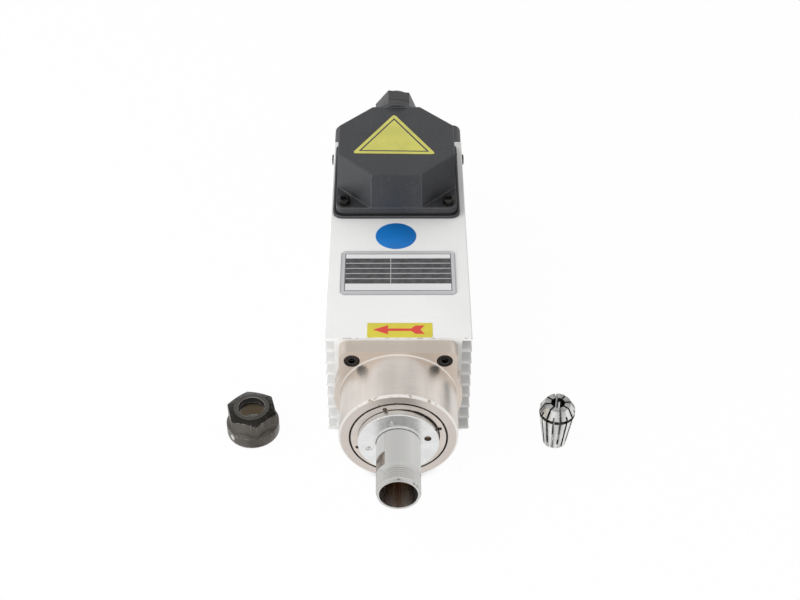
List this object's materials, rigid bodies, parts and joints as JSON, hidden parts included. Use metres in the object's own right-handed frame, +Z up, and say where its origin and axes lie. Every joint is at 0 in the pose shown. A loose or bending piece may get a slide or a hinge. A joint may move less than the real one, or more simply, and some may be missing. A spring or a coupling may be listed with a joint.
{
  "type": "motor spindle",
  "caption": "Air-cooled electric spindle: finned square body, round bearing boss, hollow threaded collet nose, terminal box with gland; clamping nut and collet stand loose.",
  "frame": {"origin": "middle of the body's underside, where it rests", "axes": "+Z up, the nose and its collet socket point to -Y, +X to the right when facing the nose"},
  "size_m": [0.2075, 0.2976, 0.1106],
  "materials": {
    "body_aluminium": "fine-blasted natural anodised extrusion",
    "bearing_housing_metal": "turned and satin nickel-toned",
    "cap_metal": "fine turned and polished",
    "shaft_steel": "ground",
    "bearing_steel": "lapped",
    "black_steel": "black oxide",
    "collet_steel": "ground",
    "box_plastic": "fine moulded texture",
    "gasket_rubber": "matt",
    "lamination_steel": "stacked sheet",
    "winding_copper": "enamelled wire, varnished",
    "cast_aluminium": "as cast",
    "fan_plastic": "moulded",
    "terminal_brass": "bright",
    "block_plastic": "moulded phenolic"
  },
  "bodies": {
    "housing": {"motor_housing": "body_aluminium", "front_bearing_housing": "bearing_housing_metal", "front_flange_screws": "black_steel", "bearing_retainer_ring": "bearing_housing_metal", "front_bearing_outer_rings": "bearing_steel", "front_outer_spacer": "bearing_steel", "stator_core": "lamination_steel", "stator_windings": "winding_copper", "rear_end_shield": "cast_aluminium", "rear_shield_screws": "black_steel", "rear_bearing_outer_ring": "bearing_steel", "preload_wave_spring": "shaft_steel", "fan_cowl": "box_plastic", "fan_cowl_screws": "black_steel", "terminal_box_base": "box_plastic", "terminal_box_gasket": "gasket_rubber", "terminal_box_cover": "box_plastic", "terminal_cover_screws": "black_steel", "terminal_block": "block_plastic", "terminal_links": "terminal_brass", "terminal_studs": "terminal_brass", "motor_leads": "gasket_rubber", "base_screws": "terminal_brass", "cable_gland_body": "box_plastic", "cable_gland_seal": "gasket_rubber"},
    "rotor": {"spindle_shaft": "shaft_steel", "labyrinth_cap": "cap_metal", "balance_screws": "shaft_steel", "front_bearing_inner_rings": "bearing_steel", "front_inner_spacer": "bearing_steel", "rotor_core": "lamination_steel", "rotor_end_rings": "cast_aluminium", "rear_bearing_inner_ring": "bearing_steel", "rear_bearing_circlip": "black_steel", "cooling_fan": "fan_plastic", "fan_circlip": "black_steel"},
    "front_cages": {"front_bearing_balls": "bearing_steel", "front_bearing_cages": "terminal_brass"},
    "rear_cage": {"rear_bearing_balls": "bearing_steel", "rear_bearing_cage": "terminal_brass"},
    "gland_nut": {"cable_gland_nut": "box_plastic"},
    "loose_nut": {"collet_nut": "black_steel", "extraction_ring": "shaft_steel"},
    "loose_collet": {"collet": "collet_steel"}
  },
  "joints": [
    {"name": "spindle_spin", "type": "hinge", "parent": "housing", "child": "rotor", "pos_m": [0, -0.096, 0.0376], "axis": [0, -1, 0], "continuous": true},
    {"name": "front_cage_spin", "type": "hinge", "parent": "housing", "child": "front_cages", "pos_m": [0, -0.1131, 0.0376], "axis": [0, -1, 0], "continuous": true},
    {"name": "rear_cage_spin", "type": "hinge", "parent": "housing", "child": "rear_cage", "pos_m": [0, 0.089, 0.0376], "axis": [0, -1, 0], "continuous": true},
    {"name": "gland_nut_turn", "type": "hinge", "parent": "housing", "child": "gland_nut", "pos_m": [-0.001, 0.105, 0.0966], "axis": [0, 1, 0], "range_deg": [-45, 315]},
    {"name": "collet_nut_lift", "type": "slide", "parent": "housing", "child": "loose_nut", "axis": [0, 0, 1], "range_m": [0, 0.08]},
    {"name": "collet_lift", "type": "slide", "parent": "housing", "child": "loose_collet", "axis": [0, 0, 1], "range_m": [0, 0.08]}
  ],
  "couplings": [
    {"joint": "front_cage_spin", "follows": "spindle_spin", "ratio": 0.401},
    {"joint": "rear_cage_spin", "follows": "spindle_spin", "ratio": 0.382}
  ]
}
